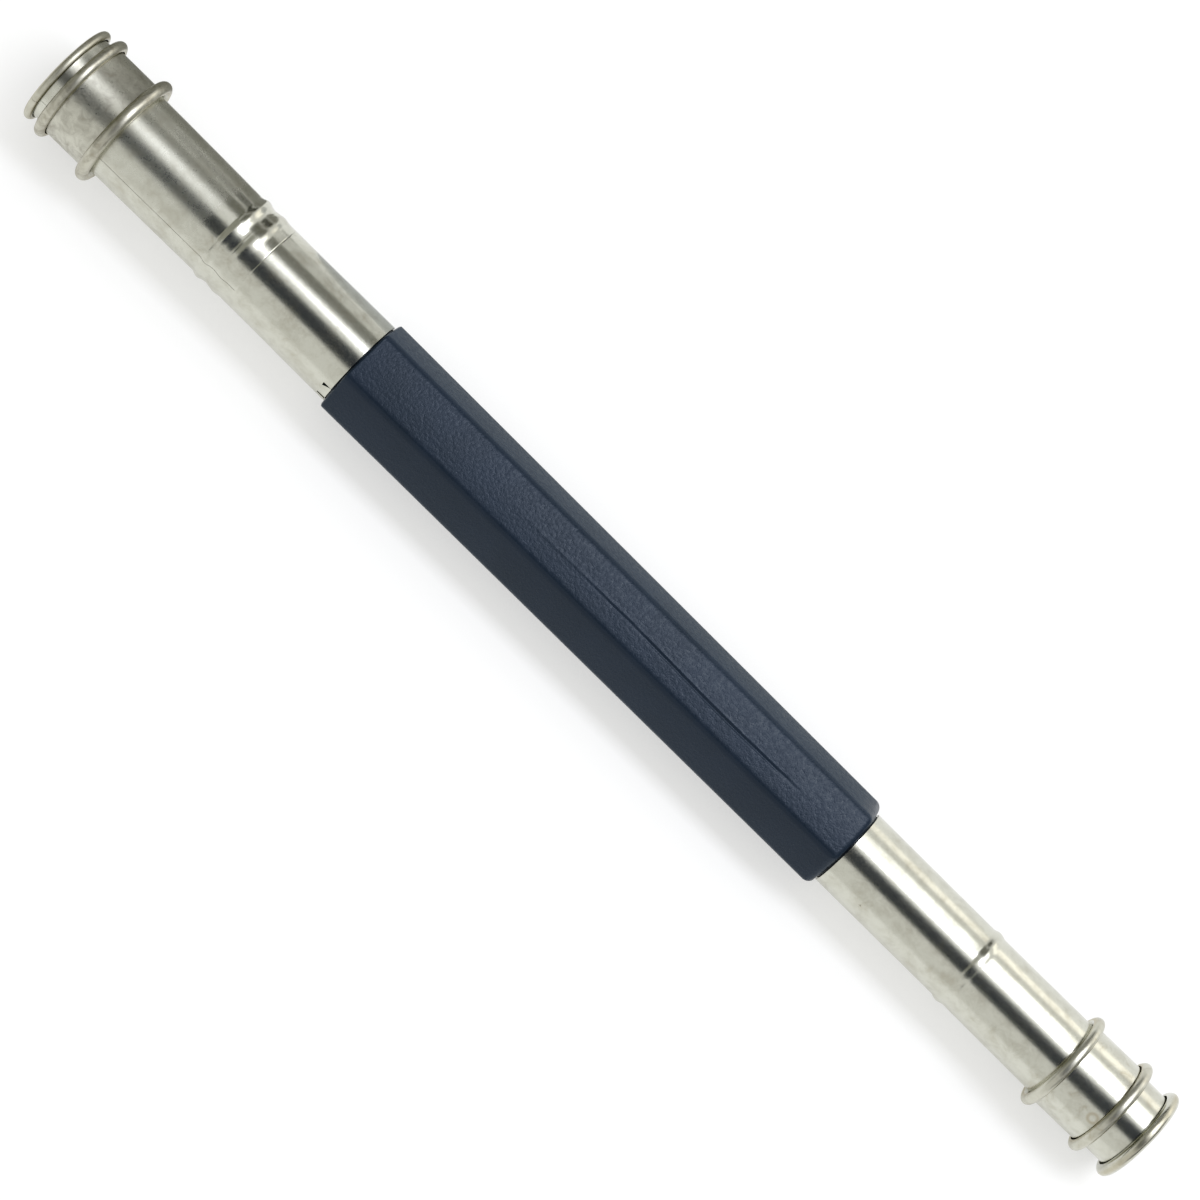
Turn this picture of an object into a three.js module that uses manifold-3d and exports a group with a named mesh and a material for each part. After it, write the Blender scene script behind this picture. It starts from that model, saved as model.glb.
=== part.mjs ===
// Double-ended pencil extender. A six-sided moulded barrel has a turned-down
// tenon at each end, and a rolled sheet-steel ferrule is pressed on each tenon.
// A short curled collar slides on each ferrule and squeezes its slit wall
// onto the pencil. The two ends take two sizes of pencil.
// Millimetres, +Z up. The long axis is X and the larger end points to -X.

import * as THREE from 'three';
import { mergeVertices } from 'three/addons/utils/BufferGeometryUtils.js';
import Module from 'manifold-3d';

const wasm = await Module();
wasm.setup();

// ---------------------------------------------------------------- dimensions

const totalLength = 165;
const mouth = totalLength / 2; // distance from the middle to either mouth
const facets = 24; // sides of every turned piece
const firstFacet = Math.PI / facets; // turns them so that one side faces down

const slitWidth = 0.12;
const tenonPlay = 0.05; // radial, between a tenon and its ferrule
const buttGap = 0.25; // axial, between a ferrule and the barrel's end

const barrel = {
  bigEnd: -36.95,
  smallEnd: 37,
  acrossFlatsBig: 11.16,
  acrossFlatsSmall: 10.63,
  cornerRadius: 0.35,
  cornerSteps: 3,
  colour: 0x3a4352,
};

// Distances along a ferrule are measured inwards from its mouth.
const bigFerrule = {
  wall: 0.3,
  rimRadius: 6.45,
  neckRadius: 5.74, // tube just behind the rolled rim
  trackRadius: 5.62, // where the collar rides
  trackStart: 1.35,
  trackEnd: 13,
  waistRadius: 5.46,
  beads: [
    { at: 25.8, radius: 5.72, halfWidth: 0.85 },
    { at: 28.2, radius: 5.59, halfWidth: 0.95 },
  ],
  grooveRadius: 5.39,
  rootRadius: 5.54,
  slitEnd: 30.2,
  slitTurn: 56.6, // degrees from +Z towards -Y
  tenonRadius: 5.15,
  tenonLength: 14.4,
};

const smallFerrule = {
  wall: 0.3,
  rimRadius: 6.05,
  neckRadius: 4.96,
  trackRadius: 4.95,
  trackStart: 1.8,
  trackEnd: 13.5,
  waistRadius: 4.88,
  beads: [{ at: 26.7, radius: 5.09, halfWidth: 0.9 }],
  rootRadius: 4.915,
  slitEnd: 29.5,
  slitTurn: 180,
  tenonRadius: 4.53,
  tenonLength: 14.6,
};

const bigCollar = {
  wall: 0.32,
  bodyRadius: 6.0,
  frontCurl: { at: 2.6, crestRadius: 6.95 },
  rearCurl: { at: 9.1, crestRadius: 7.2 },
};

const smallCollar = {
  wall: 0.3,
  bodyRadius: 5.31,
  frontCurl: { at: 4.7, crestRadius: 6.3 },
  rearCurl: { at: 12.0, crestRadius: 6.3 },
};

const curlSweep = THREE.MathUtils.degToRad(285);
const curlSteps = 8;

// ------------------------------------------------------------------ materials

function nickelPlatedSteel(name, colour, roughness) {
  return new THREE.MeshStandardMaterial({ name, color: colour, roughness, metalness: 1 });
}

const ferruleMetal = nickelPlatedSteel('nickel-plated steel tube', 0xc9c6bb, 0.28);
const collarMetal = nickelPlatedSteel('nickel-plated steel collar', 0xb9b6aa, 0.34);
const barrelPlastic = new THREE.MeshStandardMaterial({
  name: 'matt moulded plastic',
  color: barrel.colour,
  roughness: 0.6,
  metalness: 0,
});

// ------------------------------------------------------------- sheet outlines

// Mid-line of a curled edge. It leaves the tube wall at the curl's inner side
// and rolls outwards. direction is -1 for a curl at the mouth side, which
// bulges towards smaller distances, and 1 for one at the other end.
function curlMidline(at, wallRadius, crestRadius, wall, direction) {
  const roll = (crestRadius - wallRadius - wall / 2) / 2;
  const points = [];
  for (let step = 0; step <= curlSteps; step += 1) {
    const turn = (curlSweep * step) / curlSteps;
    const along = at + direction * roll * Math.sin(turn);
    const radius = wallRadius + roll * (1 - Math.cos(turn));
    points.push(new THREE.Vector2(radius, along));
  }
  return points;
}

// A closed outline of even thickness about a mid-line.
function sheetOutline(midline, wall) {
  const left = [];
  const right = [];
  midline.forEach((point, index) => {
    const before = midline[Math.max(index - 1, 0)];
    const after = midline[Math.min(index + 1, midline.length - 1)];
    const along = after.clone().sub(before).normalize();
    const across = new THREE.Vector2(-along.y, along.x).multiplyScalar(wall / 2);
    left.push(point.clone().add(across));
    right.push(point.clone().sub(across));
  });
  const outline = right.concat(left.reverse());
  outline.push(outline[0].clone());
  return outline;
}

// Foot, shoulder, crown, shoulder and foot of a raised bead in a tube wall.
function beadStations({ at, radius, halfWidth }, baseRadius) {
  const height = radius - baseRadius;
  return [-1, -0.5, 0, 0.5, 1].map((place) => {
    const lift = (height * (1 + Math.cos(Math.PI * place))) / 2;
    return new THREE.Vector2(baseRadius + lift, at + place * halfWidth);
  });
}

// -------------------------------------------------------------------- solids

function toManifold(geometry) {
  const bare = geometry.clone();
  bare.deleteAttribute('normal');
  bare.deleteAttribute('uv');
  const merged = mergeVertices(bare, 1e-5);
  const mesh = new wasm.Mesh({
    numProp: 3,
    vertProperties: new Float32Array(merged.attributes.position.array),
    triVerts: new Uint32Array(merged.index.array),
  });
  mesh.merge();
  return new wasm.Manifold(mesh);
}

function toGeometry(solid) {
  const mesh = solid.getMesh();
  const geometry = new THREE.BufferGeometry();
  geometry.setAttribute('position', new THREE.BufferAttribute(mesh.vertProperties, 3));
  geometry.setIndex(new THREE.BufferAttribute(mesh.triVerts, 1));
  geometry.computeVertexNormals();
  return geometry;
}

// Turns a half-section about X. side is -1 for the larger end and 1 for the
// smaller: distances in the section run from that mouth towards the middle.
function turnedAboutX(outline, side) {
  const geometry = new THREE.LatheGeometry(outline, facets, firstFacet);
  geometry.rotateZ((side * Math.PI) / 2);
  geometry.translate(side * mouth, 0, 0);
  return geometry;
}

function ferruleGeometry(size, side) {
  const shellRadius = (outer) => outer - size.wall / 2;
  const tubeEnd = mouth - Math.abs(side < 0 ? barrel.bigEnd : barrel.smallEnd) - buttGap;
  const roll = (size.rimRadius - size.neckRadius) / 2;
  const rimCentre = roll + size.wall / 2;
  const rim = curlMidline(
    rimCentre, shellRadius(size.neckRadius), size.rimRadius, size.wall, -1);

  const outer = [
    new THREE.Vector2(size.trackRadius, size.trackStart),
    new THREE.Vector2(size.trackRadius, size.trackEnd),
    ...beadStations(size.beads[0], size.waistRadius),
  ];
  if (size.beads.length > 1) {
    const middle = (size.beads[0].at + size.beads[1].at) / 2;
    outer.push(new THREE.Vector2(size.grooveRadius, middle));
    outer.push(...beadStations(size.beads[1], size.waistRadius));
  }
  outer.push(new THREE.Vector2(size.rootRadius, tubeEnd));
  const wall = outer.map((station) => new THREE.Vector2(shellRadius(station.x), station.y));

  const outline = sheetOutline([...rim.reverse(), ...wall], size.wall);
  const tube = toManifold(turnedAboutX(outline, side));
  return toGeometry(tube.subtract(slitCutter(size, side)));
}

// A thin blade that cuts the slit from the mouth inwards.
function slitCutter(size, side) {
  const overshoot = 2;
  const depth = 4; // deeper than the rolled rim is high
  const blade = new THREE.BoxGeometry(size.slitEnd + overshoot, slitWidth, depth);
  const centre = side * (mouth + overshoot / 2 - size.slitEnd / 2);
  blade.translate(centre, 0, size.trackRadius);
  blade.rotateX(THREE.MathUtils.degToRad(size.slitTurn));
  return toManifold(blade);
}

function collarGeometry(size, side) {
  const wallRadius = size.bodyRadius - size.wall / 2;
  const { frontCurl, rearCurl } = size;
  const front = curlMidline(frontCurl.at, wallRadius, frontCurl.crestRadius, size.wall, -1);
  const rear = curlMidline(rearCurl.at, wallRadius, rearCurl.crestRadius, size.wall, 1);
  const outline = sheetOutline([...front.reverse(), ...rear], size.wall);
  return toGeometry(toManifold(turnedAboutX(outline, side)));
}

// Points round a hexagon with a flat facing +Z, inset by a distance on every
// flat, with rounded corners.
function hexagonRing(x, inset, cornerRadius) {
  const span = barrel.smallEnd - barrel.bigEnd;
  const share = (x - barrel.bigEnd) / span;
  const acrossFlats = THREE.MathUtils.lerp(
    barrel.acrossFlatsBig, barrel.acrossFlatsSmall, share);
  const flat = acrossFlats / 2 - inset;
  const cornerCentre = (flat - cornerRadius) / Math.cos(Math.PI / 6);
  const ring = [];
  for (let corner = 0; corner < 6; corner += 1) {
    const towards = (corner * Math.PI) / 3; // from +Y, turning towards +Z
    for (let step = 0; step <= barrel.cornerSteps; step += 1) {
      const turn = towards + (step / barrel.cornerSteps - 0.5) * (Math.PI / 3);
      const y = cornerCentre * Math.cos(towards) + cornerRadius * Math.cos(turn);
      const z = cornerCentre * Math.sin(towards) + cornerRadius * Math.sin(turn);
      ring.push([x, y, z]);
    }
  }
  return ring;
}

// Skins matching rings and closes both ends with a fan.
function loftedSolid(rings) {
  const count = rings[0].length;
  const positions = rings.flat();
  const triangles = [];
  for (let ring = 0; ring + 1 < rings.length; ring += 1) {
    for (let point = 0; point < count; point += 1) {
      const next = (point + 1) % count;
      const near = ring * count;
      const far = near + count;
      triangles.push(near + point, near + next, far + point);
      triangles.push(near + next, far + next, far + point);
    }
  }
  const firstCentre = positions.length;
  positions.push([rings[0][0][0], 0, 0]);
  const lastCentre = positions.length;
  positions.push([rings[rings.length - 1][0][0], 0, 0]);
  const lastRing = (rings.length - 1) * count;
  for (let point = 0; point < count; point += 1) {
    const next = (point + 1) % count;
    triangles.push(firstCentre, next, point);
    triangles.push(lastCentre, lastRing + point, lastRing + next);
  }
  const geometry = new THREE.BufferGeometry();
  geometry.setAttribute('position', new THREE.Float32BufferAttribute(positions.flat(), 3));
  geometry.setIndex(triangles);
  return geometry;
}

function tenonSolid(size, side) {
  const root = side < 0 ? barrel.bigEnd : barrel.smallEnd;
  const sunk = 1; // length buried in the barrel
  const length = size.tenonLength + sunk;
  const tenon = new THREE.CylinderGeometry(size.tenonRadius, size.tenonRadius, length, facets);
  tenon.rotateY(firstFacet);
  tenon.rotateZ(Math.PI / 2);
  tenon.translate(root + side * (size.tenonLength / 2 - sunk / 2), 0, 0);
  return toManifold(tenon);
}

function barrelGeometry() {
  const { bigEnd, smallEnd, cornerRadius } = barrel;
  const sections = [
    hexagonRing(bigEnd, 0.45, 2.0), // small bevel, cut deeper at the corners
    hexagonRing(bigEnd + 0.35, 0.1, 0.8),
    hexagonRing(bigEnd + 0.65, 0, cornerRadius),
    hexagonRing(smallEnd - 1.3, 0, cornerRadius),
    hexagonRing(smallEnd - 0.7, 0.12, 0.8), // softer rounding at this end
    hexagonRing(smallEnd - 0.25, 0.4, 1.5),
    hexagonRing(smallEnd, 0.8, 2.2),
  ];
  const body = toManifold(loftedSolid(sections));
  return toGeometry(body.add(tenonSolid(bigFerrule, -1)).add(tenonSolid(smallFerrule, 1)));
}

// ------------------------------------------------------------------ assembly

function piece(name, geometry, material) {
  const mesh = new THREE.Mesh(geometry, material);
  mesh.name = name;
  return mesh;
}

const extender = new THREE.Group();
extender.name = 'pencil_extender';
extender.add(
  piece('barrel', barrelGeometry(), barrelPlastic),
  piece('big_ferrule', ferruleGeometry(bigFerrule, -1), ferruleMetal),
  piece('small_ferrule', ferruleGeometry(smallFerrule, 1), ferruleMetal),
  piece('big_collar', collarGeometry(bigCollar, -1), collarMetal),
  piece('small_collar', collarGeometry(smallCollar, 1), collarMetal),
);

export default extender;
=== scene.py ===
import math

import bpy
from mathutils import Matrix, Vector


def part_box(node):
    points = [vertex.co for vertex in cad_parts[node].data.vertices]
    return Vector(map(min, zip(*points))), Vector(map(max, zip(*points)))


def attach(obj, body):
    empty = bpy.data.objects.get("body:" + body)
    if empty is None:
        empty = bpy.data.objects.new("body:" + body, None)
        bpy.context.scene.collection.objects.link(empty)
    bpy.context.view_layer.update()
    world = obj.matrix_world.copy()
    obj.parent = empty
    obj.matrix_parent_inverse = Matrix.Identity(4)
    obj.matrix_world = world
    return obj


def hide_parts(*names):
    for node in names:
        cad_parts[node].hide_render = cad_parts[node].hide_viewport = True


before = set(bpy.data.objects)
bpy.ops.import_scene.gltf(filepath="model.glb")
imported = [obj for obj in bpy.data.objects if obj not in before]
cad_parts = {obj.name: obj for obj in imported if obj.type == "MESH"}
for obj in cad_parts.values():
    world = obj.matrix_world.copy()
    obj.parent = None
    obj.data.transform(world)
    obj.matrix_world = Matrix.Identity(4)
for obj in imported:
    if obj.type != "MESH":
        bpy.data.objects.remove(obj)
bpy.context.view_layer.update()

mm = 0.001
smoothAngle = math.radians(40)
sameSpot = 0.001 * mm          # points nearer than this are one
cutThreshold = 0.0002 * mm     # nearer than this a cut takes a point as lying on it
hair = 0.01 * mm               # two places closer than this are the same ring


# Colour and node helpers

def srgb(code):
    channels = [int(code[i:i + 2], 16) / 255 for i in (1, 3, 5)]
    return [c / 12.92 if c <= 0.04045 else ((c + 0.055) / 1.055) ** 2.4 for c in channels] + [1.0]


def addNode(tree, kind, settings=None, inputs=None):
    # settings go on the node, inputs are values or the sockets that feed it
    node = tree.nodes.new(kind)
    for name, value in (settings or {}).items():
        setattr(node, name, value)
    for name, value in (inputs or {}).items():
        if isinstance(value, bpy.types.NodeSocket):
            tree.links.new(value, node.inputs[name])
        else:
            node.inputs[name].default_value = value
    return node


def newMaterial(name):
    material = bpy.data.materials.new(name)
    material.use_nodes = True
    material.node_tree.nodes.clear()
    return material, material.node_tree


# Studio

camera = {
    "distance": 0.4965,
    "fieldOfView": 14.98,
    "lean": 12.4,       # degrees from straight above, towards -Y
    "nearEnd": 0.6,     # degrees towards the larger end
    "slope": 44.70,     # the object runs down to the right
    "aim": (-0.79 * mm, 0.19 * mm, 0.0),
    "sensorWidth": 36.0,
    "clip": (0.01, 50.0),
}
room = {
    "wallColour": "#F8F8F6",
    "wallStrength": 0.90,
    "floorColour": "#BEBEBC",
    "floorGlow": 0.45,      # the table is lit from below as well, which thins the shadows
    "floorSize": 8.0,
    "floorDrop": 0.07 * mm,     # a round curl reaches nearly this much lower than the CAD's faceted one
    # darks as a camera's contrast curve renders them, scene value to shown value
    "darkCurve": [(0.03, 0.019), (0.06, 0.046), (0.13, 0.13)],
    "brightnessCurve": 3,       # red, green and blue come first
}
softboxes = {
    # centre, size along X and across, watts, colour
    "overheadStrip": {"place": (0.320, 0.255, 0.72), "size": (0.81, 0.18), "power": 3.5, "colour": "#EFF2FF"},
    "rightWing": {"place": (0.36, 0.49, 0.60), "size": (0.5, 0.27), "power": 0.9, "colour": "#FFFFFF"},
    "sideLight": {"place": (0.50, 0.85, 0.16), "size": (0.8, 0.30), "power": 0.8, "colour": "#FFF8EC"},
}
cards = {
    # flat cards that only the reflections see
    "blackCard": {"place": (0.30, -0.250, 0.76), "size": (1.34, 0.54), "colour": "#43464D"},
    "greyCard": {"place": (-0.44, 0.60, 0.56), "size": (0.84, 0.42), "colour": "#73736E"},
    "lowGreyCard": {"place": (-0.66, 0.85, 0.14), "size": (1.0, 0.42), "colour": "#4A4A48"},
    "nearEndCard": {"place": (-0.68, 0.0, 0.58), "size": (0.82, 0.9), "colour": "#A2A29A"},
    "nearLowCard": {"place": (-0.85, 0.0, 0.12), "size": (0.36, 1.6), "colour": "#5C5C58"},
    "farLowCard": {"place": (0.85, 0.0, 0.16), "size": (0.46, 1.7), "colour": "#6A6B6B"},
}
cardLift = 0.3 * mm
tableCards = {
    # lying just over the table beyond the object, place along X and Y
    "nearTableCard": {"place": (-0.167, 0.105), "size": (0.216, 0.19), "colour": "#8C8C87"},
    "barrelTableCard": {"place": (-0.0065, 0.105), "size": (0.087, 0.19), "colour": "#C2C5C7"},
}


def placeCamera():
    lean, near, slope = (math.radians(camera[k]) for k in ("lean", "nearEnd", "slope"))
    back = Vector((-math.sin(near), -math.cos(near) * math.sin(lean), math.cos(near) * math.cos(lean)))
    along = (Vector((1, 0, 0)) - back * back.x).normalized()
    across = back.cross(along)
    right = along * math.cos(slope) + across * math.sin(slope)
    up = across * math.cos(slope) - along * math.sin(slope)
    turn = Matrix((right, up, back)).transposed().to_4x4()
    bpy.ops.object.camera_add()
    eye = bpy.context.object
    eye.name = "camera"
    eye.matrix_world = Matrix.Translation(Vector(camera["aim"]) + back * camera["distance"]) @ turn
    eye.data.sensor_width = camera["sensorWidth"]
    eye.data.lens = camera["sensorWidth"] / 2 / math.tan(math.radians(camera["fieldOfView"] / 2))
    eye.data.clip_start, eye.data.clip_end = camera["clip"]
    bpy.context.scene.camera = eye


def facingObject(place):
    # tilted about one axis only, so that the long edges stay level with the object
    x, y, z = place
    return (math.atan2(-y, z), 0, 0) if y else (0, math.atan2(x, z), 0)


def addCard(name, size, place, rotation):
    bpy.ops.mesh.primitive_plane_add(size=1, location=place, rotation=rotation)
    card = bpy.context.object
    card.name = name
    card.scale = (*size["size"], 1)
    material, tree = newMaterial("painted card")
    shader = addNode(tree, "ShaderNodeEmission", inputs={"Color": srgb(size["colour"])})
    addNode(tree, "ShaderNodeOutputMaterial", inputs={"Surface": shader.outputs[0]})
    card.data.materials.append(material)
    card.visible_camera = False
    card.visible_diffuse = False
    card.visible_shadow = False


def buildStudio():
    scene = bpy.context.scene
    scene.view_settings.view_transform = "Standard"
    scene.view_settings.use_curve_mapping = True
    curves = scene.view_settings.curve_mapping
    for shown in room["darkCurve"]:
        curves.curves[room["brightnessCurve"]].points.new(*shown)
    curves.update()
    world = bpy.data.worlds.new("studio walls")
    world.use_nodes = True
    scene.world = world
    wall = world.node_tree.nodes["Background"]
    wall.inputs["Color"].default_value = srgb(room["wallColour"])
    wall.inputs["Strength"].default_value = room["wallStrength"]

    bigLow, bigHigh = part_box("big_collar")
    smallLow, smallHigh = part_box("small_collar")
    # the floor runs just under the curls at both ends, so it leans by a third of a degree
    rise = math.atan2(smallLow.z - bigLow.z, smallHigh.x - bigHigh.x)
    bpy.ops.mesh.primitive_plane_add(
        size=room["floorSize"], location=(bigHigh.x, 0, bigLow.z - room["floorDrop"]), rotation=(0, -rise, 0))
    floor = bpy.context.object
    floor.name = "floor"
    material, tree = newMaterial("opal acrylic table")
    matt = addNode(tree, "ShaderNodeBsdfDiffuse", inputs={"Color": srgb(room["floorColour"])})
    glow = addNode(tree, "ShaderNodeEmission", inputs={"Strength": room["floorGlow"]})
    shader = addNode(tree, "ShaderNodeAddShader", inputs={0: matt.outputs[0], 1: glow.outputs[0]})
    addNode(tree, "ShaderNodeOutputMaterial", inputs={"Surface": shader.outputs[0]})
    floor.data.materials.append(material)

    for name, box in softboxes.items():
        bpy.ops.object.light_add(type="AREA", location=box["place"], rotation=facingObject(box["place"]))
        lamp = bpy.context.object
        lamp.name = name
        lamp.data.shape = "RECTANGLE"
        lamp.data.size, lamp.data.size_y = box["size"]
        lamp.data.energy = box["power"]
        lamp.data.color = srgb(box["colour"])[:3]
        lamp.visible_camera = False

    for name, size in cards.items():
        addCard(name, size, size["place"], facingObject(size["place"]))
    for name, size in tableCards.items():
        x, y = size["place"]
        onTable = (x, y, bigLow.z + (x - bigHigh.x) * math.tan(rise) + cardLift)
        addCard(name, size, onTable, (0, -rise, 0))


placeCamera()
buildStudio()
print("studio ready")


# Modelling helpers

def pick(piece, kind, test):
    # selects the vertices, edges or faces that pass the test, and nothing else
    bpy.ops.mesh.select_mode(type=kind)
    bpy.ops.mesh.select_all(action="DESELECT")
    bpy.ops.object.mode_set(mode="OBJECT")
    mesh = piece.data
    if kind == "VERT":
        for vert in mesh.vertices:
            vert.select = test(vert.co)
    elif kind == "EDGE":
        for edge in mesh.edges:
            edge.select = test(*(mesh.vertices[i].co for i in edge.vertices))
    else:
        for face in mesh.polygons:
            face.select = test(face.center)
    bpy.ops.object.mode_set(mode="EDIT")


def turnOf(point):
    # degrees round the tube from +Z towards -Y
    return math.degrees(math.atan2(-point.y, point.z))


def outward(turn):
    angle = math.radians(turn)
    return Vector((0, -math.sin(angle), math.cos(angle)))


def startRing(name, x, radius, sides):
    bpy.ops.object.select_all(action="DESELECT")
    bpy.ops.mesh.primitive_circle_add(
        vertices=sides, radius=radius, location=(x, 0, 0), rotation=(0, math.pi / 2, 0))
    ring = bpy.context.object
    ring.name = name
    ring.data.name = name
    bpy.ops.object.transform_apply(location=True, rotation=True, scale=True)
    bpy.ops.object.mode_set(mode="EDIT")
    bpy.ops.mesh.select_mode(type="VERT")
    bpy.ops.mesh.select_all(action="SELECT")
    return ring


def drawOut(stations):
    # extrudes the selected ring from each station, an x and a radius, to the next
    for (x0, r0), (x1, r1) in zip(stations, stations[1:]):
        bpy.ops.mesh.extrude_region_move(TRANSFORM_OT_translate={"value": (x1 - x0, 0, 0)})
        bpy.ops.transform.resize(value=(1, r1 / r0, r1 / r0), center_override=(x1, 0, 0))


def cutLocally(piece, near, planes):
    # cuts only the faces near a place, by planes that are each a point and a normal
    for point, normal in planes:
        pick(piece, "FACE", near)
        bpy.ops.mesh.bisect(plane_co=point, plane_no=normal, threshold=cutThreshold)


def applyModifier(piece, kind, **settings):
    modifier = piece.modifiers.new(kind.lower(), kind)
    for name, value in settings.items():
        setattr(modifier, name, value)
    bpy.ops.object.modifier_apply(modifier=modifier.name)


def thicken(piece, wall):
    # sheet of one even thickness, its middle where the stations are
    bpy.ops.mesh.select_all(action="SELECT")
    bpy.ops.mesh.normals_make_consistent(inside=False)
    bpy.ops.object.mode_set(mode="OBJECT")
    applyModifier(piece, "SOLIDIFY", thickness=wall, offset=0, use_even_offset=True)
    bpy.ops.object.shade_smooth_by_angle(angle=smoothAngle)


def finishPiece(piece, material, body, node):
    piece.data.materials.clear()
    piece.data.materials.append(material)
    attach(piece, body)
    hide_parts(node)
    print(piece.name, "ready,", len(piece.data.polygons), "faces")


# Rolled edges, as stations along the middle of the sheet, and beads, as stations along its outside

def curlStations(at, wallRadius, crestRadius, wall, direction, sweep=285, steps=22):
    roll = (crestRadius - wallRadius - wall / 2) / 2
    turns = [math.radians(sweep * i / steps) for i in range(steps + 1)]
    return [(at + direction * roll * math.sin(t), wallRadius + roll * (1 - math.cos(t))) for t in turns]


def beadStations(bead, base, steps=12):
    places = [2 * i / steps - 1 for i in range(steps + 1)]
    return [(bead["at"] + p * bead["halfWidth"],
             base + (bead["radius"] - base) * (1 + math.cos(math.pi * p)) / 2) for p in places]


# Metal

ferruleFinish = {
    "name": "nickel-plated steel tube",
    "plating": "#C8C8BC",
    "dullPlating": "#B9B8AB",
    "tarnish": "#A3987F",           # in the deepest clouds
    "tarnishShare": 0.3,
    "polish": 0.20,
    "unevenness": 0.06,
    "haze": 0.08,
    "hazeEdges": (-60.0, -59.2),    # mm along X, hazy towards the mouth from here
    "cloudSize": 2.2,               # mm
    "cloudEdges": (0.38, 0.68),     # noise values from clear to clouded
    "tarnishEdges": (0.56, 0.80),
    "unevenEdges": (0.7, 1.3),      # of the clouds and flecks added up
    "swirl": 0.3,
    "wavySize": 0.9,
    "wavyDepth": 0.0050 * mm,
    "lineGap": 0.16,
    "lineDepth": 0.0010 * mm,
    "drawnStretch": 0.03,           # how much slower the pattern runs along the lines
    "turnedStretch": 0.05,
    "fleckSize": 0.22,
    "curlFoot": 5.85,               # mm from the axis, beyond which the sheet is part of a curled edge
    "curlFade": 0.25,
    "curlDullness": 0.13,
    "curlBrown": 0.35,              # share of the tint at the foot
    "brownEdges": (0.15, 0.75),     # mm above the foot, over which the tint thins out
    "brownLeft": 0.1,               # share of it beyond
    "curlTint": "#A59668",
    "stain": None,
}
bigCollarFinish = dict(
    ferruleFinish, name="dulled nickel plating", plating="#C2C1B4", dullPlating="#A7A599", tarnish="#918773",
    tarnishShare=0.5, polish=0.31, unevenness=0.13, haze=0.0, cloudSize=1.4, swirl=0.6, wavySize=0.8,
    wavyDepth=0.006 * mm, curlFoot=6.02, curlDullness=0.03)
smallCollarFinish = dict(
    ferruleFinish, name="bright nickel plating", tarnishShare=0.6, polish=0.20, haze=0.0, cloudSize=1.8,
    swirl=0.8, curlFoot=5.33, curlBrown=0.6,
    stain={"place": (76.3, -3.19, 4.25), "radius": 0.56, "width": 0.34, "strength": 0.6})


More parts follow.
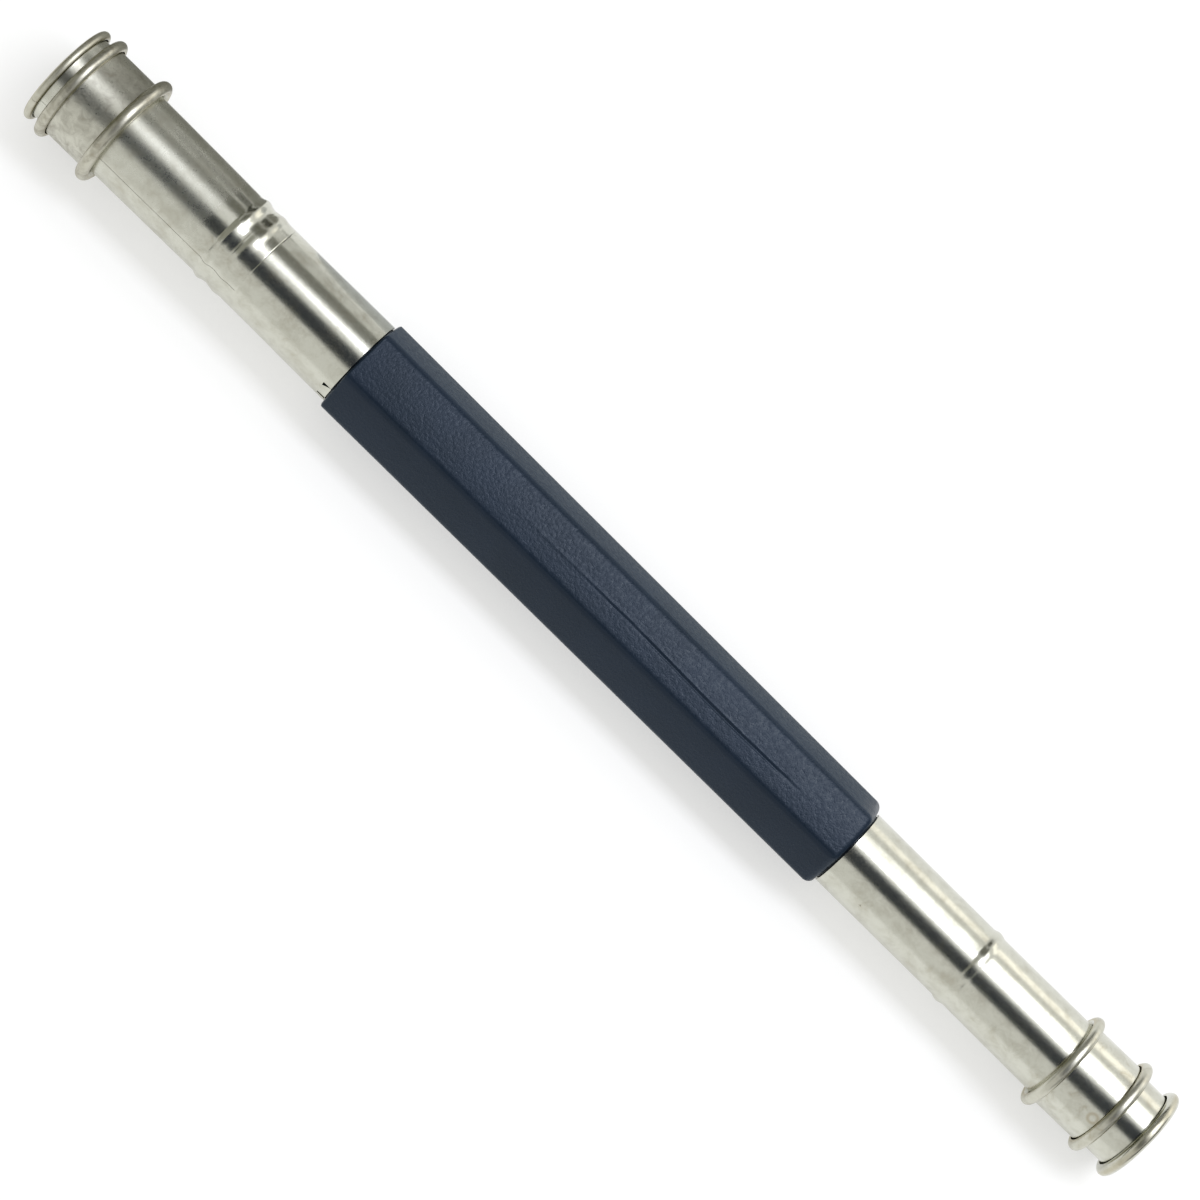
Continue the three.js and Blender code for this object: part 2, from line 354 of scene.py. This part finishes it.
def nickelPlatedSteel(finish):
    # thin plating over drawn steel: warm grey, mirror bands softened by handling, faint drawn lines
    material, tree = newMaterial(finish["name"])
    place = addNode(tree, "ShaderNodeTexCoord").outputs["Object"]
    inMm = addNode(tree, "ShaderNodeMapping", inputs={0: place, "Scale": [1 / mm] * 3}).outputs[0]
    axes = addNode(tree, "ShaderNodeSeparateXYZ", inputs={0: inMm})

    clouds = addNode(tree, "ShaderNodeTexNoise", inputs={
        "Vector": inMm, "Scale": 1 / finish["cloudSize"], "Detail": 5, "Roughness": 0.66,
        "Distortion": finish["swirl"]})
    flecks = addNode(tree, "ShaderNodeTexNoise", inputs={
        "Vector": inMm, "Scale": 1 / finish["fleckSize"], "Detail": 3, "Roughness": 0.7})
    stretched = addNode(tree, "ShaderNodeMapping", inputs={
        0: inMm, "Scale": (finish["drawnStretch"], 1.0, 1.0)})
    drawnLines = addNode(tree, "ShaderNodeTexNoise", inputs={
        "Vector": stretched.outputs[0], "Scale": 1 / finish["lineGap"], "Detail": 3, "Roughness": 0.6})
    turned = addNode(tree, "ShaderNodeMapping", inputs={
        0: inMm, "Scale": (1.0, finish["turnedStretch"], finish["turnedStretch"])})
    turnedLines = addNode(tree, "ShaderNodeTexNoise", inputs={
        "Vector": turned.outputs[0], "Scale": 1 / finish["lineGap"], "Detail": 3, "Roughness": 0.6})
    waviness = addNode(tree, "ShaderNodeTexNoise", inputs={
        "Vector": inMm, "Scale": 1 / finish["wavySize"], "Detail": 3, "Roughness": 0.6})

    # colour: cloudy plating, browned in the deepest clouds
    cloudShare = addNode(tree, "ShaderNodeMapRange", {"interpolation_type": "SMOOTHSTEP"}, {
        "Value": clouds.outputs[0], "From Min": finish["cloudEdges"][0], "From Max": finish["cloudEdges"][1]})
    plating = addNode(tree, "ShaderNodeMixRGB", inputs={
        "Fac": cloudShare.outputs[0], "Color1": srgb(finish["plating"]),
        "Color2": srgb(finish["dullPlating"])})
    tarnishStart, tarnishEnd = finish["tarnishEdges"]
    tarnishShare = addNode(tree, "ShaderNodeMapRange", {"interpolation_type": "SMOOTHSTEP"}, {
        "Value": clouds.outputs[0], "From Min": tarnishStart, "From Max": tarnishEnd,
        "To Max": finish["tarnishShare"]})
    colour = addNode(tree, "ShaderNodeMixRGB", inputs={
        "Fac": tarnishShare.outputs[0], "Color1": plating.outputs[0],
        "Color2": srgb(finish["tarnish"])}).outputs[0]
    # the curled edges are duller, and browned where they leave the wall
    acrossAxis = addNode(tree, "ShaderNodeMapping", inputs={0: inMm, "Scale": (0.0, 1.0, 1.0)})
    fromAxis = addNode(tree, "ShaderNodeVectorMath", {"operation": "LENGTH"}, {0: acrossAxis.outputs[0]})
    foot = finish["curlFoot"]
    onCurl = addNode(tree, "ShaderNodeMapRange", {"interpolation_type": "SMOOTHSTEP"}, {
        "Value": fromAxis.outputs["Value"], "From Min": foot, "From Max": foot + finish["curlFade"]})
    brownStart, brownEnd = finish["brownEdges"]
    pastFoot = addNode(tree, "ShaderNodeMapRange", {"interpolation_type": "SMOOTHSTEP"}, {
        "Value": fromAxis.outputs["Value"], "From Min": foot + brownStart, "From Max": foot + brownEnd,
        "To Min": finish["curlBrown"], "To Max": finish["brownLeft"]})
    brownShare = addNode(tree, "ShaderNodeMath", {"operation": "MULTIPLY"}, {
        0: onCurl.outputs[0], 1: pastFoot.outputs[0]})
    colour = addNode(tree, "ShaderNodeMixRGB", inputs={
        "Fac": brownShare.outputs[0], "Color1": colour, "Color2": srgb(finish["curlTint"])}).outputs[0]
    if finish["stain"]:
        # a ring left by a drop
        stain = finish["stain"]
        fromCentre = addNode(tree, "ShaderNodeVectorMath", {"operation": "DISTANCE"}, {
            0: inMm, 1: stain["place"]})
        fromRing = addNode(tree, "ShaderNodeMath", {"operation": "SUBTRACT"}, {
            0: fromCentre.outputs["Value"], 1: stain["radius"]})
        offRing = addNode(tree, "ShaderNodeMath", {"operation": "ABSOLUTE"}, {0: fromRing.outputs[0]})
        ringShare = addNode(tree, "ShaderNodeMapRange", {"interpolation_type": "SMOOTHSTEP"}, {
            "Value": offRing.outputs[0], "From Min": 0.0, "From Max": stain["width"],
            "To Min": stain["strength"], "To Max": 0.0})
        colour = addNode(tree, "ShaderNodeMixRGB", inputs={
            "Fac": ringShare.outputs[0], "Color1": colour, "Color2": srgb(finish["tarnish"])}).outputs[0]

    # gloss: polish, made uneven by clouds and flecks, and a haze towards the larger mouth
    uneven = addNode(tree, "ShaderNodeMath", {"operation": "ADD"}, {
        0: clouds.outputs[0], 1: flecks.outputs[0]})
    smoothest, roughest = finish["unevenEdges"]
    polish = addNode(tree, "ShaderNodeMapRange", inputs={
        "Value": uneven.outputs[0], "From Min": smoothest, "From Max": roughest,
        "To Min": finish["polish"] - finish["unevenness"] / 2,
        "To Max": finish["polish"] + finish["unevenness"]})
    hazeStart, hazeEnd = finish["hazeEdges"]
    haze = addNode(tree, "ShaderNodeMapRange", inputs={
        "Value": axes.outputs["X"], "From Min": hazeStart, "From Max": hazeEnd,
        "To Min": finish["haze"], "To Max": 0.0})
    hazy = addNode(tree, "ShaderNodeMath", {"operation": "ADD"}, {0: polish.outputs[0], 1: haze.outputs[0]})
    roughness = addNode(tree, "ShaderNodeMath", {"operation": "MULTIPLY_ADD"}, {
        0: onCurl.outputs[0], 1: finish["curlDullness"], 2: hazy.outputs[0]})

    # relief: slight waves, then lines along the tube and fine ones round it
    waves = addNode(tree, "ShaderNodeBump", inputs={
        "Height": waviness.outputs[0], "Distance": finish["wavyDepth"]})
    lines = addNode(tree, "ShaderNodeMath", {"operation": "ADD"}, {
        0: drawnLines.outputs[0], 1: turnedLines.outputs[0]})
    scratches = addNode(tree, "ShaderNodeBump", inputs={
        "Height": lines.outputs[0], "Distance": finish["lineDepth"], "Normal": waves.outputs[0]})

    shader = addNode(tree, "ShaderNodeBsdfPrincipled", inputs={
        "Base Color": colour, "Metallic": 1.0, "Roughness": roughness.outputs[0],
        "Normal": scratches.outputs[0]})
    addNode(tree, "ShaderNodeOutputMaterial", inputs={"Surface": shader.outputs[0]})
    return material


# Plastic

barrelFinish = {
    "colour": "#1A252F",
    "paleColour": "#232E3B",
    "cloudSize": 7.0,        # mm
    "grainSize": 0.40,
    "grainDepth": 0.034 * mm,
    "finePit": 0.13,
    "finePitDepth": 0.004 * mm,
    "gloss": (0.27, 0.40),
}


def mouldedPolypropylene(finish):
    # dark blue-grey plastic with the skin of a spark-eroded mould: matt, with a fine pebbled sparkle
    material, tree = newMaterial("moulded polypropylene")
    place = addNode(tree, "ShaderNodeTexCoord").outputs["Object"]
    inMm = addNode(tree, "ShaderNodeMapping", inputs={0: place, "Scale": [1 / mm] * 3}).outputs[0]
    clouds = addNode(tree, "ShaderNodeTexNoise", inputs={
        "Vector": inMm, "Scale": 1 / finish["cloudSize"], "Detail": 4, "Roughness": 0.6})
    grain = addNode(tree, "ShaderNodeTexNoise", inputs={
        "Vector": inMm, "Scale": 1 / finish["grainSize"], "Detail": 2, "Roughness": 0.55})
    pits = addNode(tree, "ShaderNodeTexVoronoi", inputs={"Vector": inMm, "Scale": 1 / finish["finePit"]})
    colour = addNode(tree, "ShaderNodeMixRGB", inputs={
        "Fac": clouds.outputs[0], "Color1": srgb(finish["colour"]), "Color2": srgb(finish["paleColour"])})
    roughness = addNode(tree, "ShaderNodeMapRange", inputs={
        "Value": grain.outputs[0], "From Min": 0.3, "From Max": 0.7,
        "To Min": finish["gloss"][0], "To Max": finish["gloss"][1]})
    pebbles = addNode(tree, "ShaderNodeBump", inputs={
        "Height": grain.outputs[0], "Distance": finish["grainDepth"]})
    skin = addNode(tree, "ShaderNodeBump", inputs={
        "Height": pits.outputs[0], "Distance": finish["finePitDepth"], "Normal": pebbles.outputs[0]})
    shader = addNode(tree, "ShaderNodeBsdfPrincipled", inputs={
        "Base Color": colour.outputs[0], "Roughness": roughness.outputs[0], "IOR": 1.49,
        "Specular IOR Level": 0.24, "Normal": skin.outputs[0]})
    addNode(tree, "ShaderNodeOutputMaterial", inputs={"Surface": shader.outputs[0]})
    return material


ferruleMetal = nickelPlatedSteel(ferruleFinish)
bigCollarMetal = nickelPlatedSteel(bigCollarFinish)
smallCollarMetal = nickelPlatedSteel(smallCollarFinish)
barrelPlastic = mouldedPolypropylene(barrelFinish)


# Barrel: a six-sided moulded bar with a round tenon at each end

barrel = {
    "sides": 6,
    "bigEnd": -37.28 * mm,
    "smallEnd": 37.0 * mm,
    "flatsAtBigEnd": 5.60 * mm,      # from the axis to a flat
    "flatsAtSmallEnd": 5.33 * mm,
    "cornerReach": 1.15 * mm,        # the flats start to roll off this far from a corner
    "cornerSharpness": 0.77,
    "cornerSegments": 14,
    "flatCuts": 7,
    "crown": 0.10,                   # how far each flat swells towards round
    # distance from the end face, drop of the flats, and how far the corners are rounded off
    "bigEndProfile": [(0.24, 0.0, 0.0), (0.18, 0.015, 0.0), (0.12, 0.05, 0.0), (0.03, 0.17, 0.03),
                      (0.0, 0.25, 0.03)],
    "smallEndProfile": [(0.85, 0.0, 0.0), (0.60, 0.04, 0.02), (0.37, 0.13, 0.05), (0.17, 0.27, 0.08),
                        (0.04, 0.43, 0.08), (0.0, 0.56, 0.06)],
    "bigTenon": {"radius": 5.10 * mm, "length": 14.4 * mm},
    "smallTenon": {"radius": 4.50 * mm, "length": 14.6 * mm},
    "tenonChamfer": 0.4 * mm,
    "tipInset": 1.5 * mm,            # a ring on the tenon's tip, whose middle closes in a point
}
crease = {
    # a flow mark in the top flat: a fine lip with a shallow groove beside it
    # places along X, then offsets towards -Y, lip heights and groove depths there
    "path": [(-16.0, 0.34), (-9.0, 0.42), (4.0, 0.33), (11.0, 0.48), (17.0, 0.57), (24.0, 0.50),
             (31.0, 0.25)],
    "lip": [(-15.0, 0.0), (-9.0, 0.018), (4.0, 0.024), (12.0, 0.022), (20.0, 0.018), (28.0, 0.008),
            (30.0, 0.0)],
    "groove": [(-4.0, 0.0), (-1.0, 0.025), (3.0, 0.04), (4.5, 0.0), (6.0, 0.05), (12.0, 0.08), (18.0, 0.095),
               (24.0, 0.07), (29.0, 0.0)],
    "apart": 0.24 * mm,
    "column": 1.0 * mm,
    "strip": 0.06 * mm,
    "lipReach": 0.34 * mm,
    "grooveReach": 0.30 * mm,
    "skin": 0.15 * mm,          # what lies deeper than this isn't the top flat
    "faceReach": 35.9 * mm,     # the edges at the ends start beyond this
}


def between(table, at):
    # straight-line reading of a table of pairs
    for (a, low), (b, high) in zip(table, table[1:]):
        if a <= at <= b:
            return low + (high - low) * (at - a) / (b - a)
    return table[0][1] if at < table[0][0] else table[-1][1]


def ringRadius(piece):
    # mean radius of the selected ring
    bpy.ops.object.mode_set(mode="OBJECT")
    radii = [math.hypot(vert.co.y, vert.co.z) for vert in piece.data.vertices if vert.select]
    bpy.ops.object.mode_set(mode="EDIT")
    return sum(radii) / len(radii)


def shapeEnd(bar, profile, flats, endX, inwards, tenon):
    # from the full section round the edge, across the end face and out along the tenon
    # inwards is the sign of X that leads from this end into the bar
    for (near0, drop0, _), (near1, drop1, rounding) in zip(profile, profile[1:]):
        scale = (flats - drop1 * mm) / (flats - drop0 * mm)
        step = inwards * (near1 - near0) * mm
        bpy.ops.mesh.extrude_region_move(TRANSFORM_OT_translate={"value": (step, 0, 0)})
        bpy.ops.transform.resize(value=(1, scale, scale), center_override=(endX, 0, 0))
        if rounding:
            bpy.ops.transform.tosphere(value=rounding)
    bpy.ops.mesh.extrude_region_move(TRANSFORM_OT_translate={"value": (0, 0, 0)})
    bpy.ops.transform.tosphere(value=1.0)
    radius, chamfer = tenon["radius"], barrel["tenonChamfer"]
    scale = radius / ringRadius(bar)
    bpy.ops.transform.resize(value=(1, scale, scale), center_override=(endX, 0, 0))
    tipX = endX - inwards * tenon["length"]
    drawOut([(endX, radius), (tipX + inwards * chamfer, radius), (tipX, radius - chamfer)])
    bpy.ops.mesh.edge_face_add()
    bpy.ops.mesh.inset(thickness=barrel["tipInset"])
    bpy.ops.mesh.poke()


def raiseCrease(bar):
    start, end = crease["path"][0][0] * mm, crease["path"][-1][0] * mm
    offsets = [offset for _, offset in crease["path"]]
    draft = [(barrel["bigEnd"], barrel["flatsAtBigEnd"]),
             (barrel["smallEnd"], barrel["flatsAtSmallEnd"])]

    def top(point):
        height = between(draft, point.x) - crease["skin"]
        return point.z > height and abs(point.x) < crease["faceReach"]

    def inReach(point):
        return top(point) and start < point.x < end

    columns = int((end - start) / crease["column"])
    cutLocally(bar, top, [((start, 0, 0), (1, 0, 0)), ((end, 0, 0), (1, 0, 0))])
    cutLocally(bar, inReach, [
        ((start + crease["column"] * i, 0, 0), (1, 0, 0)) for i in range(1, columns)])
    reach = crease["apart"] / 2 + crease["lipReach"]
    lowest, highest = -max(offsets) * mm - reach, -min(offsets) * mm + reach
    strips = int((highest - lowest) / crease["strip"])
    cutLocally(bar, inReach, [
        ((0, lowest + crease["strip"] * i, 0), (0, 1, 0)) for i in range(strips + 1)])
    for i in range(1, columns):
        x = start + crease["column"] * i
        middle = -between(crease["path"], x / mm) * mm
        for y, height, width in (
                (middle + crease["apart"] / 2, between(crease["lip"], x / mm), crease["lipReach"]),
                (middle - crease["apart"] / 2, -between(crease["groove"], x / mm), crease["grooveReach"])):
            y = lowest + round((y - lowest) / crease["strip"]) * crease["strip"]
            pick(bar, "VERT", lambda co: (
                abs(co.x - x) < hair and abs(co.y - y) < 2 * hair and inReach(co)))
            bpy.ops.transform.translate(
                value=(0, 0, height * mm), use_proportional_edit=True,
                proportional_edit_falloff="SMOOTH", proportional_size=width)


def buildBarrel():
    big, small = barrel["bigEndProfile"], barrel["smallEndProfile"]
    startX, stopX = barrel["bigEnd"] + big[0][0] * mm, barrel["smallEnd"] - small[0][0] * mm
    flatsBig, flatsSmall = barrel["flatsAtBigEnd"], barrel["flatsAtSmallEnd"]
    sides = barrel["sides"]
    bar = startRing("sixSidedBarrel", startX, flatsBig / math.cos(math.pi / sides), sides)
    bpy.ops.mesh.bevel(
        affect="VERTICES", offset=barrel["cornerReach"], segments=barrel["cornerSegments"],
        profile=barrel["cornerSharpness"])
    pick(bar, "EDGE", lambda a, b: (a - b).length > barrel["cornerReach"])
    bpy.ops.mesh.subdivide(number_cuts=barrel["flatCuts"])
    pick(bar, "VERT", lambda co: True)
    bpy.ops.transform.tosphere(value=barrel["crown"])
    drawOut([(startX, flatsBig), (stopX, flatsSmall)])
    shapeEnd(bar, small, flatsSmall, barrel["smallEnd"], -1, barrel["smallTenon"])
    pick(bar, "VERT", lambda co: abs(co.x - startX) < hair)
    shapeEnd(bar, big, flatsBig, barrel["bigEnd"], 1, barrel["bigTenon"])
    bpy.ops.mesh.select_all(action="SELECT")
    bpy.ops.mesh.normals_make_consistent(inside=False)
    raiseCrease(bar)
    bpy.ops.object.mode_set(mode="OBJECT")
    bpy.ops.object.shade_smooth_by_angle(angle=smoothAngle)
    applyModifier(bar, "WEIGHTED_NORMAL", keep_sharp=True)
    return bar


bar = buildBarrel()
finishPiece(bar, barrelPlastic, "holder", "barrel")


# Ferrules: rolled sheet tubes, slit from the mouth so that a collar can squeeze them

bigFerrule = {
    "wall": 0.3 * mm,
    "sides": 128,
    "rimRadius": 6.45 * mm,
    "neckRadius": 5.74 * mm,
    "track": [(1.35 * mm, 5.63 * mm), (5.0 * mm, 5.62 * mm), (13.2 * mm, 5.58 * mm)],
    "waistRadius": 5.465 * mm,
    "beads": [
        {"at": 25.8 * mm, "radius": 5.70 * mm, "halfWidth": 0.85 * mm},
        {"at": 28.2 * mm, "radius": 5.60 * mm, "halfWidth": 0.95 * mm},
    ],
    "grooveRadius": 5.39 * mm,
    "scribe": {"at": 30.2 * mm, "halfWidth": 0.07 * mm, "depth": 0.035 * mm},
    "root": [(34.0 * mm, 5.47 * mm), (39.0 * mm, 5.51 * mm)],
    "rootRadius": 5.54 * mm,
    "shortBy": 0.25 * mm,       # its inner end stops this far before the CAD's
    "slit": {"turn": 56.6, "width": 0.05 * mm, "end": 30.2 * mm},
    # each cut is a turn and a width, and the bend is degrees at each of the steps
    "tab": {"length": 1.1 * mm, "cuts": [(62.3, 0.52 * mm), (85.0, 0.34 * mm)], "bend": 2.8, "steps": 5},
}
smallFerrule = {
    "wall": 0.3 * mm,
    "sides": 128,
    "rimRadius": 6.05 * mm,
    "neckRadius": 4.96 * mm,
    "track": [(1.8 * mm, 4.955 * mm), (13.5 * mm, 4.95 * mm)],
    "waistRadius": 4.885 * mm,
    "beads": [{"at": 26.7 * mm, "radius": 5.09 * mm, "halfWidth": 0.9 * mm}],
    "root": [(30.0 * mm, 4.89 * mm)],
    "rootRadius": 4.915 * mm,
    "slit": {"turn": 180.0, "width": 0.05 * mm, "end": 29.5 * mm},
    "punch": {"x": 42.4 * mm, "turn": 58.0, "radius": 0.18 * mm, "depth": 0.16 * mm},
    "ding": {"x": 57.1 * mm, "turn": 15.4, "radius": 0.35 * mm, "depth": 0.04 * mm},
}


slitMargin = 6          # degrees to each side of a slit within which faces are cut
tabMargin = 8           # and to each side of the tab
tabFootMargin = 4 * mm
wallSide = 3 * mm       # points further out than this are on the dented side of a tube
dentReach = 1.4         # a dent's fine patch goes this many of its radii to each side
dentMargin = 14 * mm    # the long faces that the patch's first cuts split have their middles within this


def ferruleStations(size, end):
    # distances run inwards from the mouth
    half = size["wall"] / 2
    roll = (size["rimRadius"] - size["neckRadius"]) / 2
    rim = curlStations(roll + half, size["neckRadius"] - half, size["rimRadius"], size["wall"], -1)
    outer = list(size["track"])
    for number, bead in enumerate(size["beads"]):
        if number:
            outer.append(((bead["at"] + size["beads"][0]["at"]) / 2, size["grooveRadius"]))
        outer += beadStations(bead, size["waistRadius"])
    if "scribe" in size:
        line, waist = size["scribe"], size["waistRadius"]
        lip = line["halfWidth"]
        outer += [(line["at"] - 2 * lip, waist), (line["at"] - lip, waist),
                  (line["at"], waist - line["depth"]),
                  (line["at"] + lip, waist), (line["at"] + 2 * lip, waist)]
    outer += list(size["root"]) + [(end, size["rootRadius"])]
    return list(reversed(rim)) + [(at, radius - half) for at, radius in outer]


def cutSlit(tube, slit, mouthX):
    out = outward(slit["turn"])
    across = Vector((1, 0, 0)).cross(out)
    towardsMouth = 1 if mouthX > 0 else -1
    endX = mouthX - towardsMouth * slit["end"]

    def near(point):
        return abs((turnOf(point) - slit["turn"] + 180) % 360 - 180) < slitMargin

    def inSlit(point):
        beyondEnd = (point.x - endX) * towardsMouth > 0
        return near(point) and abs(point.dot(across)) < slit["width"] / 2 and beyondEnd

    edges = [(across * side * slit["width"] / 2, across) for side in (-1, 1)]
    cutLocally(tube, near, edges + [((endX, 0, 0), (1, 0, 0))])
    pick(tube, "FACE", inSlit)
    bpy.ops.mesh.delete(type="FACE")


def pushIn(tube, dent, cuts=9):
    # refines a small patch of the wall, then presses its middle inwards
    x, out = dent["x"], outward(dent["turn"])
    across = Vector((1, 0, 0)).cross(out)
    reach = dent["radius"] * dentReach
    steps = [reach * (2 * i / (cuts - 1) - 1) for i in range(cuts)]

    def wall(point, width, length):
        return out.dot(point) > wallSide and abs(point.dot(across)) < width and abs(point.x - x) < length

    def patch(point):
        return wall(point, reach * 2, reach)

    rings = [((x + step, 0, 0), (1, 0, 0)) for step in steps]
    cutLocally(tube, lambda point: wall(point, reach * 2, dentMargin), [rings[0], rings[-1]])
    cutLocally(tube, patch, rings[1:-1])
    cutLocally(tube, patch, [(across * step, across) for step in steps])
    pick(tube, "VERT", lambda co: wall(co, sameSpot, sameSpot))
    bpy.ops.transform.translate(
        value=-out * dent["depth"], use_proportional_edit=True,
        proportional_edit_falloff="SMOOTH", proportional_size=dent["radius"])


def lanceTab(tube, tab, endX):
    # a short tongue between two slots at the tube's end, pressed in to grip the tenon
    rootX = endX - tab["length"]
    step = tab["length"] / tab["steps"]
    (first, _), (last, _) = tab["cuts"]
    slots = [(outward(turn).cross(Vector((1, 0, 0))), width / 2) for turn, width in tab["cuts"]]

    def near(point):
        return point.x > rootX - tabFootMargin and first - tabMargin < turnOf(point) < last + tabMargin

    def pastRoot(point):
        return near(point) and point.x > rootX

    def inSlot(point):
        return pastRoot(point) and any(abs(point.dot(side)) < half for side, half in slots)

    cutLocally(tube, near, [((rootX + step * i, 0, 0), (1, 0, 0)) for i in range(-1, tab["steps"])])
    cutLocally(tube, pastRoot, [(side * edge * half, side) for side, half in slots for edge in (-1, 1)])
    pick(tube, "FACE", inSlot)
    bpy.ops.mesh.delete(type="FACE")
    hinge = outward(last) * bigFerrule["rootRadius"]
    for i in range(1, tab["steps"]):
        # each turn takes what lies further on along the tongue, so the tip turns most
        pick(tube, "FACE", lambda point: (
            point.x > rootX + step * i and first < turnOf(point) < last
            and point.dot(slots[0][0]) * point.dot(slots[1][0]) < 0))
        bpy.ops.transform.rotate(
            value=math.radians(tab["bend"]), orient_axis="X", center_override=(0, hinge.y, hinge.z))


def buildFerrule(name, size, mouthX, endX):
    inwards = 1 if mouthX < 0 else -1
    stations = [(mouthX + inwards * at, radius) for at, radius in ferruleStations(size, abs(endX - mouthX))]
    tube = startRing(name, *stations[0], size["sides"])
    drawOut(stations)
    cutSlit(tube, size["slit"], mouthX)
    for mark in ("punch", "ding"):
        if mark in size:
            pushIn(tube, size[mark])
    bpy.ops.mesh.select_all(action="SELECT")
    bpy.ops.mesh.remove_doubles(threshold=sameSpot)
    if "tab" in size:
        lanceTab(tube, size["tab"], endX)
    thicken(tube, size["wall"])
    return tube


bigLow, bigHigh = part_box("big_ferrule")
smallLow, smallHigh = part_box("small_ferrule")
mouth = 82.5 * mm       # half of the whole length
tube = buildFerrule("bigFerruleTube", bigFerrule, -mouth, bigHigh.x - bigFerrule["shortBy"])
finishPiece(tube, ferruleMetal, "holder", "big_ferrule")
tube = buildFerrule("smallFerruleTube", smallFerrule, mouth, smallLow.x)
finishPiece(tube, ferruleMetal, "holder", "small_ferrule")


# Collars: short sleeves with both ends curled outwards

bigCollar = {
    "wall": 0.32 * mm,
    "sides": 128,
    "bodyRadius": 6.0 * mm,
    "frontCurl": {"at": 2.6 * mm, "crestRadius": 6.95 * mm},
    "rearCurl": {"at": 9.1 * mm, "crestRadius": 7.2 * mm},
    "cocked": -0.3,             # degrees about Z, as it was left on the ferrule
}
smallCollar = {
    "wall": 0.3 * mm,
    "sides": 128,
    "bodyRadius": 5.31 * mm,
    "frontCurl": {"at": 4.92 * mm, "crestRadius": 6.3 * mm},
    "rearCurl": {"at": 12.12 * mm, "crestRadius": 6.3 * mm},
    "cocked": -0.9,
}


def buildCollar(name, size, mouthX):
    inwards = 1 if mouthX < 0 else -1
    wallRadius = size["bodyRadius"] - size["wall"] / 2
    curls = size["frontCurl"], size["rearCurl"]
    front, rear = (
        curlStations(curl["at"], wallRadius, curl["crestRadius"], size["wall"], direction)
        for curl, direction in zip(curls, (-1, 1)))
    stations = [(mouthX + inwards * at, radius) for at, radius in list(reversed(front)) + rear]
    sleeve = startRing(name, *stations[0], size["sides"])
    drawOut(stations)
    bpy.ops.mesh.select_all(action="SELECT")
    middle = mouthX + inwards * (size["frontCurl"]["at"] + size["rearCurl"]["at"]) / 2
    bpy.ops.transform.rotate(
        value=math.radians(size["cocked"]), orient_axis="Z", center_override=(middle, 0, 0))
    thicken(sleeve, size["wall"])
    return sleeve


sleeve = buildCollar("bigSlidingCollar", bigCollar, -mouth)
finishPiece(sleeve, bigCollarMetal, "big_collar", "big_collar")
sleeve = buildCollar("smallSlidingCollar", smallCollar, mouth)
finishPiece(sleeve, smallCollarMetal, "small_collar", "small_collar")
